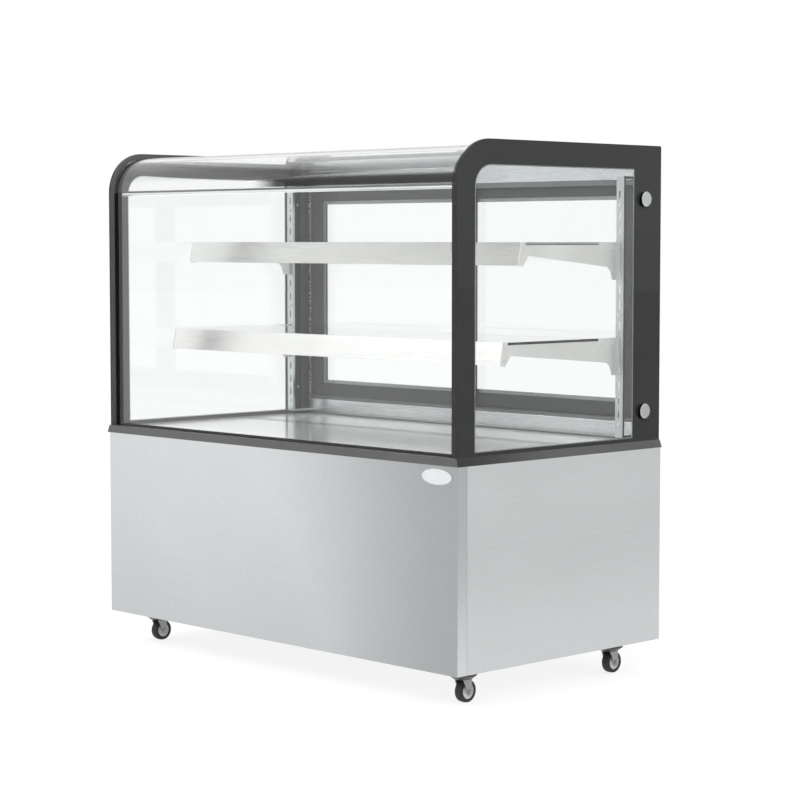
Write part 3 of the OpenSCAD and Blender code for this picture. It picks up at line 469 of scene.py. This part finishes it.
def coat_finishes():
    """Powder coats, print, enamel and moulded plastic.

    The fourth and fifth values are the scale and the depth of the grain.
    """
    return {
        "bracket_steel": painted("bracket_coat", (0.66, 0.66, 0.645), (0.3, 0.42), 700.0, metallic=0.5),
        "dark_trim": painted(
            "trim_coat", (0.12, 0.12, 0.122), (0.3, 0.4), 800.0, metallic=0.3, tone=trim_painted_shade),
        "border": painted(
            "printed_border", (0.135, 0.135, 0.136), (0.4, 0.5), 2600.0, 0.00002, tone=border_painted_light),
        "corner_post": painted("corner_post_coat", (0.02, 0.02, 0.021), (0.3, 0.4)),
        "control_panel": painted("control_panel_coat", (0.045, 0.045, 0.047), (0.45, 0.6), 1400.0, 0.00008),
        "black_plastic": painted("black_plastic", (0.015, 0.015, 0.016), (0.35, 0.5), 1600.0, 0.00006),
        "rocker": painted("rocker_plastic", (0.02, 0.02, 0.022), (0.22, 0.3), 1200.0, 0.00003),
        "button": painted("button_rubber", (0.30, 0.31, 0.32), (0.5, 0.62), 1800.0),
        "display": painted("display_lens", (0.008, 0.008, 0.010), (0.04, 0.07), 200.0, 0.00001),
        "badge": painted("badge_enamel", (0.88, 0.90, 0.91), (0.12, 0.2), 300.0, 0.00002),
        # A painted highlight: the bright line inside the end glasses' border.
        "painted_highlight_line": painted("painted_highlight_coat", (0.86, 0.88, 0.88), (0.1, 0.16), 600.0),
        "foam": painted("tub_liner", (0.62, 0.63, 0.63), (0.4, 0.55), 500.0),
        "fan_plastic": painted("fan_plastic", (0.02, 0.02, 0.02), (0.4, 0.55), 1300.0),
        "compressor_black": painted("compressor_paint", (0.02, 0.021, 0.022), (0.2, 0.3), 400.0),
    }


def caster_finishes():
    return {
        "fork_zinc": painted("fork_zinc", (0.33, 0.33, 0.335), (0.28, 0.4), metallic=0.7),
        # The raceways are painted dark grey as shade under the case.
        "raceway": painted("raceway_painted_shade", (0.13, 0.13, 0.133), (0.3, 0.42), metallic=0.4),
        "wheel_disc": painted("wheel_disc", (0.86, 0.87, 0.88), (0.25, 0.35)),
        "tyre": rubber("tyre_rubber", (0.016, 0.016, 0.017)),
    }


def glass_finishes():
    """Each kind of glass names the axes that its ground edges look along."""
    return {
        "end_glass": glass("end_glass", WATER_CLEAR, DARK_EDGE, "YZ"),
        "pane_glass": glass("front_glass", WATER_CLEAR, GREEN_EDGE, "X", tone=bend_painted_reflection),
        "door_glass": glass("door_glass", WATER_CLEAR, GREEN_EDGE, "XZ"),
        "shelf_glass": glass("shelf_glass", WATER_CLEAR, GREY_EDGE, "XY"),
        "diffuser": lamp_face("lamp_diffuser", (0.9, 0.9, 0.9), 1.1),
    }


def dress_nodes(materials):
    """Gives every CAD node its finish; both end panels have their own grain and a copy of the steel painted
    lighter, as lit.
    """
    for part in frame["record"]["subparts"]:
        node = NODES[part["node"]]
        name = "side_steel_painted_lit" if "side_panel" in part["node"] else part["material_slot"]
        node.data.materials.clear()
        node.data.materials.append(materials[name])


# --------------------------------------------------------------- soft edges

BEVEL_ANGLE = math.radians(35)
BEVEL_SEGMENTS = 2
WELD_GAP = 0.000005
BEVELS_MM = {
    "base_trim": 0.8, "front_panel": 0.5, "left_side_panel": 0.5, "right_side_panel": 0.5,
    "left_door_frame": 0.8, "right_door_frame": 0.8, "rear_frame": 0.5,
    "upper_track": 0.3, "lower_track": 0.3, "upper_shelf_rail": 0.4, "lower_shelf_rail": 0.4,
    "left_standard": 0.3, "right_standard": 0.3, "upper_left_bracket": 0.3, "upper_right_bracket": 0.3,
    "lower_left_bracket": 0.3, "lower_right_bracket": 0.3, "upper_shelf_glass": 0.6, "lower_shelf_glass": 0.6,
    "control_plate": 0.4, "controller": 0.6, "power_switch": 0.4, "light_switch": 0.4, "badge_plate": 0.5,
    "light_bar": 0.6, "corner_posts": 0.8,
}


def add_bevel(shape, width_mm):
    bevel = shape.modifiers.new("bevel", "BEVEL")
    bevel.width = width_mm * MM
    bevel.segments = BEVEL_SEGMENTS
    bevel.limit_method = "ANGLE"
    bevel.angle_limit = BEVEL_ANGLE
    bevel.use_clamp_overlap = True


def smooth_normals(shape):
    shape.modifiers.new("normals", "WEIGHTED_NORMAL").keep_sharp = True


def soften_edges():
    """Small rounded edges on folded sheet, extrusions and ground glass."""
    for name, width_mm in BEVELS_MM.items():
        node = NODES[name]
        node.modifiers.new("weld", "WELD").merge_threshold = WELD_GAP
        add_bevel(node, width_mm)
        smooth_normals(node)


# ------------------------------------------------------------- mesh helpers
# An outline is a list of points in a plane, and place() takes a point into space.

def piece(name, fill, material, body, bevel_mm=0.0):
    """A new piece from a function that fills a bmesh; it rides on a body."""
    shape = bmesh.new()
    fill(shape)
    bmesh.ops.recalc_face_normals(shape, faces=shape.faces)
    mesh = bpy.data.meshes.new(name)
    shape.to_mesh(mesh)
    shape.free()
    made = bpy.data.objects.new(name, mesh)
    bpy.context.scene.collection.objects.link(made)
    mesh.materials.append(material)
    if bevel_mm:
        add_bevel(made, bevel_mm)
    for face in mesh.polygons:
        face.use_smooth = True
    smooth_normals(made)
    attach(made, body)


def ring_between(shape, outer, inner, place, depth):
    """A closed ring between two outlines of the same count, extruded by a vector."""
    count = len(outer)
    rows = []
    for shift in (Vector((0, 0, 0)), Vector(depth)):
        rows.append([[shape.verts.new(place(*point) + shift) for point in line] for line in (outer, inner)])
    (out_a, in_a), (out_b, in_b) = rows
    for i in range(count):
        j = (i + 1) % count
        shape.faces.new((out_a[i], out_a[j], in_a[j], in_a[i]))
        shape.faces.new((out_b[i], in_b[i], in_b[j], out_b[j]))
        shape.faces.new((out_a[i], out_b[i], out_b[j], out_a[j]))
        shape.faces.new((in_a[i], in_a[j], in_b[j], in_b[i]))


def extrude_outline(shape, outline, place, depth):
    """A closed solid: an outline placed in space and extruded by a vector."""
    near = [shape.verts.new(place(*point)) for point in outline]
    far = [shape.verts.new(place(*point) + Vector(depth)) for point in outline]
    shape.faces.new(near)
    shape.faces.new(reversed(far))
    for i, vertex in enumerate(near):
        j = (i + 1) % len(near)
        shape.faces.new((near[j], vertex, far[i], far[j]))


def turned(shape, profile, centre, steps=48):
    """A ring turned about a vertical axis from a closed outline of radius and height."""
    rings = []
    for i in range(steps):
        angle = math.tau * i / steps
        rings.append([
            shape.verts.new(Vector((centre[0] + r * math.cos(angle), centre[1] + r * math.sin(angle), z)))
            for r, z in profile
        ])
    for ring, after in zip(rings, rings[1:] + rings[:1]):
        for i in range(len(profile)):
            j = (i + 1) % len(profile)
            shape.faces.new((ring[i], ring[j], after[j], after[i]))


def inset(edges, width):
    """A rectangle (low a, low b, high a, high b) made smaller on every side."""
    return (edges[0] + width, edges[1] + width, edges[2] - width, edges[3] - width)


def rectangle(low_a, low_b, high_a, high_b):
    return [(low_a, low_b), (high_a, low_b), (high_a, high_b), (low_a, high_b)]


def oval(centre_a, centre_b, half_a, half_b, steps):
    return [
        (centre_a + half_a * math.cos(angle), centre_b + half_b * math.sin(angle))
        for angle in (math.tau * i / steps for i in range(steps))
    ]


def rounded_rectangle(centre_a, centre_b, half_a, half_b, corner, steps=4):
    outline = []
    for quarter, (side_a, side_b) in enumerate(((1, 1), (-1, 1), (-1, -1), (1, -1))):
        for i in range(steps + 1):
            angle = math.radians(90 * (quarter + i / steps))
            outline.append((
                centre_a + side_a * (half_a - corner) + corner * math.cos(angle),
                centre_b + side_b * (half_b - corner) + corner * math.sin(angle)))
    return outline


def middle(low, high):
    return (low + high) / 2


# ----------------------------------------------------------- small fittings
# Sizes of doors, borders, air slots and caster plates are those of the CAD nodes.
# Places are measured from the corner of the node that carries the fitting.

STILE = 0.047
TOP_RAIL = 0.030
BOTTOM_RAIL = 0.039
BEAD_WIDTH = 0.0085
BEAD_SET_BACK = 0.0006
BEAD_THICKNESS = 0.0018
BEAD_TUCK = 0.0002


def door_beads(materials):
    """Light glazing beads round the front of each door's glass."""
    for side in ("left", "right"):
        low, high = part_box(side + "_door_frame")
        opening = (low.x + STILE, low.z + BOTTOM_RAIL, high.x - STILE, high.z - TOP_RAIL)
        outer = rectangle(*inset(opening, BEAD_TUCK))
        inner = rectangle(*inset(opening, BEAD_WIDTH))
        y = low.y + BEAD_SET_BACK
        piece(
            side + "_door_bead",
            lambda shape: ring_between(
                shape, outer, inner, lambda x, z: Vector((x, y, z)), (0, BEAD_THICKNESS, 0)),
            materials["bead"], side + "_door", bevel_mm=0.5,
        )


# The bright line inside the end glasses' border is a painted highlight.
RIM_WIDTH = 0.0022
RIM_THICKNESS = 0.0003
RIM_STEPS = 12
BORDER_FRONT = 0.0575
BORDER_REAR = 0.090
BORDER_TOP = 0.053
BORDER_FOOT = 0.0075
BORDER_RADIUS = 0.048


def window_outline(y0, z0, y1, z1, radius):
    """The clear window of an end glass, round at its top front corner."""
    points = [(y0, z0), (y1, z0), (y1, z1)]
    for i in range(RIM_STEPS + 1):
        angle = math.radians(90 + 90 * i / RIM_STEPS)
        points.append((y0 + radius + radius * math.cos(angle), z1 - radius + radius * math.sin(angle)))
    return points


def window_highlight_lines(materials):
    """A painted highlight: a bright line inside the printed border, on the inner face of both end glasses."""
    low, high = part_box("right_end_glass")
    edges = (low.y + BORDER_FRONT, low.z + BORDER_FOOT, high.y - BORDER_REAR, high.z - BORDER_TOP)
    outer = window_outline(*edges, BORDER_RADIUS)
    inner = window_outline(*inset(edges, RIM_WIDTH), BORDER_RADIUS - RIM_WIDTH)
    for side, sign in (("left", -1), ("right", 1)):
        x = sign * (low.x - RIM_THICKNESS)
        piece(
            side + "_window_highlight_line",
            lambda shape: ring_between(
                shape, outer, inner, lambda y, z: Vector((x, y, z)), (sign * RIM_THICKNESS, 0, 0)),
            materials["painted_highlight_line"], "case",
        )


LENS_RADIUS = 0.0032
LENS_Y = 0.0072
LENS_Z = 0.0028
LENS_INSET = 0.006
LENS_STEPS = 20


def lamp_diffuser(materials):
    """The milky lens under the lamp housing."""
    low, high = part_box("light_bar")
    outline = oval(low.y + LENS_Y, low.z + LENS_Z, LENS_RADIUS, LENS_RADIUS, LENS_STEPS)
    length = high.x - low.x - 2 * LENS_INSET
    piece(
        "lamp_diffuser",
        lambda shape: extrude_outline(
            shape, outline, lambda y, z: Vector((low.x + LENS_INSET, y, z)), (length, 0, 0)),
        materials["diffuser"], "case",
    )


LOUVRE_Y = 0.0715
LOUVRE_LENGTH = 0.053
LOUVRE_SLOT = 0.006
LOUVRE_PITCH = 0.014
LOUVRE_MARGIN = 0.030
# The black plates in the air slots are painted shade.
SHADE_PLATE_DROP = 0.0002
SHADE_PLATE_THICKNESS = 0.0011
SHADE_PLATE_GAP = 0.0001


def louvre_painted_shade(materials):
    """Painted shade: black plates set into the row of air slots in the deck."""
    _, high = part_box("deck_panel")
    count = int((high.x - LOUVRE_MARGIN) / LOUVRE_PITCH)
    top = high.z - SHADE_PLATE_DROP
    half_w, half_l = LOUVRE_SLOT / 2 - SHADE_PLATE_GAP, LOUVRE_LENGTH / 2 - SHADE_PLATE_GAP

    def fill(shape):
        for i in range(-count, count + 1):
            x = i * LOUVRE_PITCH
            outline = rectangle(x - half_w, LOUVRE_Y - half_l, x + half_w, LOUVRE_Y + half_l)
            extrude_outline(shape, outline, lambda x, y: Vector((x, y, top)), (0, 0, -SHADE_PLATE_THICKNESS))

    piece("louvre_painted_shade", fill, materials["black_plastic"], "case")


CASTER_PLATE = 0.046
RACEWAY = [
    (0.0148, 0.0565), (0.0185, 0.0520), (0.0200, 0.0520), (0.0305, 0.0600),
    (0.0312, 0.0612), (0.0300, 0.0625), (0.0148, 0.0625),
]


def caster_raceways(materials):
    """The flared swivel head of each caster, over its fork."""
    low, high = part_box("caster_plates")
    half = CASTER_PLATE / 2
    for end, x in (("left", low.x + half), ("right", high.x - half)):
        for row, y in (("front", low.y + half), ("rear", high.y - half)):
            piece(
                f"{row}_{end}_raceway", lambda shape: turned(shape, RACEWAY, (x, y)),
                materials["raceway"], f"{row}_{end}_fork",
            )


BADGE_RIM_WIDTH = 0.0012
BADGE_RIM_TUCK = 0.0001
BADGE_RIM_PROUD = 0.0005
BADGE_RIM_THICKNESS = 0.0008
BADGE_STEPS = 72


def badge_rim(materials):
    """A thin raised rim round the blank oval badge."""
    low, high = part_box("badge_plate")
    half_w, half_h = (high.x - low.x) / 2, (high.z - low.z) / 2

    def badge_oval(shrink):
        return oval(
            middle(low.x, high.x), middle(low.z, high.z), half_w - shrink, half_h - shrink, BADGE_STEPS)

    piece(
        "badge_rim",
        lambda shape: ring_between(
            shape, badge_oval(BADGE_RIM_TUCK), badge_oval(BADGE_RIM_WIDTH),
            lambda x, z: Vector((x, low.y - BADGE_RIM_PROUD, z)), (0, BADGE_RIM_THICKNESS, 0)),
        materials["rim_metal"], "case", bevel_mm=0.15,
    )


DISPLAY_ALONG = 0.36  # share of the controller's width
DISPLAY_HALF_W = 0.0165
DISPLAY_HALF_H = 0.0085
DISPLAY_CORNER = 0.002
DISPLAY_SUNK = 0.0004
DISPLAY_THICKNESS = 0.0007


def display_window(materials):
    """The blank dark window of the temperature controller."""
    low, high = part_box("controller")
    centre_x = low.x + DISPLAY_ALONG * (high.x - low.x)
    outline = rounded_rectangle(
        centre_x, middle(low.z, high.z), DISPLAY_HALF_W, DISPLAY_HALF_H, DISPLAY_CORNER)
    piece(
        "display_window",
        lambda shape: extrude_outline(
            shape, outline, lambda x, z: Vector((x, high.y - DISPLAY_SUNK, z)), (0, DISPLAY_THICKNESS, 0)),
        materials["display"], "case", bevel_mm=0.2,
    )


def make_fittings(materials):
    door_beads(materials)
    window_highlight_lines(materials)
    lamp_diffuser(materials)
    louvre_painted_shade(materials)
    caster_raceways(materials)
    badge_rim(materials)
    display_window(materials)


# ------------------------------------------------------------------- studio

WHITE = (1.0, 1.0, 1.0)
WORLD_LIGHT = 0.72
MIRROR_RIGHT = (0.70, 0.71, 0.72)
MIRROR_TURN_X = (0.0, 0.75)
FLOOR_SIZE = 60
FLOOR_GLOW = 0.80
FLOOR_FADE_X = (0.7, 2.2)
FLOOR_FADE = (0.80, 0.34)
FLOOR_SHADOWED = (0.30, 0.30, 0.30)
FLOOR_SPECKS = 40.0
FLOOR_DARKER = (0.78, 0.78, 0.78)
FLOOR_LIGHTER = (0.80, 0.80, 0.80)


def make_world():
    """Even white light; camera and glass rays see plain white, and mirrors a greyer right side."""
    world = bpy.data.worlds.new("studio")
    bpy.context.scene.world = world
    world.use_nodes = True
    tree = world.node_tree
    tree.nodes.clear()
    path = add(tree, "LightPath")
    seen = greater(tree, path.outputs["Is Camera Ray"], path.outputs["Is Transmission Ray"])
    direction = add(tree, "SeparateXYZ", Vector=add(tree, "TexCoord").outputs["Generated"])
    to_right = spread(tree, direction.outputs["X"], 0.0, 1.0, *MIRROR_TURN_X)
    lit = add(tree, "Background", Color=WHITE, Strength=WORLD_LIGHT)
    mirror = add(tree, "Background", Color=shade(tree, to_right, WHITE, MIRROR_RIGHT), Strength=1.0)
    plain = add(tree, "Background", Color=WHITE, Strength=1.0)
    glossy = mix_shaders(tree, path.outputs["Is Glossy Ray"], lit, mirror)
    both = mix_shaders(tree, seen, glossy, plain)
    out = tree.nodes.new("ShaderNodeOutputWorld")
    tree.links.new(both.outputs[0], out.inputs["Surface"])


def make_floor():
    """A pale floor that reads as white and still takes the case's shadow."""
    bpy.ops.mesh.primitive_plane_add(size=FLOOR_SIZE)
    floor = bpy.context.object
    floor.name = "floor"
    made, tree = new_tree("floor")
    path = add(tree, "LightPath")
    direct = greater(tree, path.outputs["Is Camera Ray"], path.outputs["Is Transmission Ray"])
    seen = greater(tree, direct, path.outputs["Is Glossy Ray"])
    mirrored = along_axis(tree, "X", *FLOOR_FADE_X, *FLOOR_FADE)
    strength = greater(tree, mirrored, product(tree, direct, FLOOR_GLOW))
    speck = grain(tree, (FLOOR_SPECKS,) * 3, detail=4.0)
    plain = add(tree, "BsdfDiffuse", Color=shade(tree, speck, FLOOR_DARKER, FLOOR_LIGHTER))
    glow = add(tree, "Emission", Color=WHITE, Strength=strength)
    shadowed = add(tree, "BsdfDiffuse", Color=FLOOR_SHADOWED)
    lifted = tree.nodes.new("ShaderNodeAddShader")
    tree.links.new(glow.outputs[0], lifted.inputs[0])
    tree.links.new(shadowed.outputs[0], lifted.inputs[1])
    finish_surface(tree, mix_shaders(tree, seen, plain, lifted).outputs[0])
    floor.data.materials.append(made)


def soft_box(name, place, target, size, power):
    """An area lamp aimed at a point; mirrors don't show it."""
    data = bpy.data.lights.new(name, "AREA")
    data.shape = "RECTANGLE"
    data.size, data.size_y = size
    data.energy = power
    lamp = bpy.data.objects.new(name, data)
    lamp.location = place
    lamp.rotation_euler = (Vector(target) - Vector(place)).to_track_quat("-Z", "Y").to_euler()
    lamp.visible_glossy = False
    bpy.context.scene.collection.objects.link(lamp)


def make_studio():
    bpy.context.scene.view_settings.view_transform = "Standard"
    make_world()
    make_floor()
    soft_box("key", place=(-2.6, -3.4, 3.4), target=(0, 0, 0.7), size=(2.4, 1.8), power=70)
    soft_box("fill", place=(3.8, -1.2, 2.6), target=(0, 0, 0.6), size=(2.0, 2.0), power=36)


# -------------------------------------------------------------------- scene

make_camera()
materials = {**metal_finishes(), **coat_finishes(), **caster_finishes(), **glass_finishes()}
dress_nodes(materials)
soften_edges()
make_fittings(materials)
make_studio()
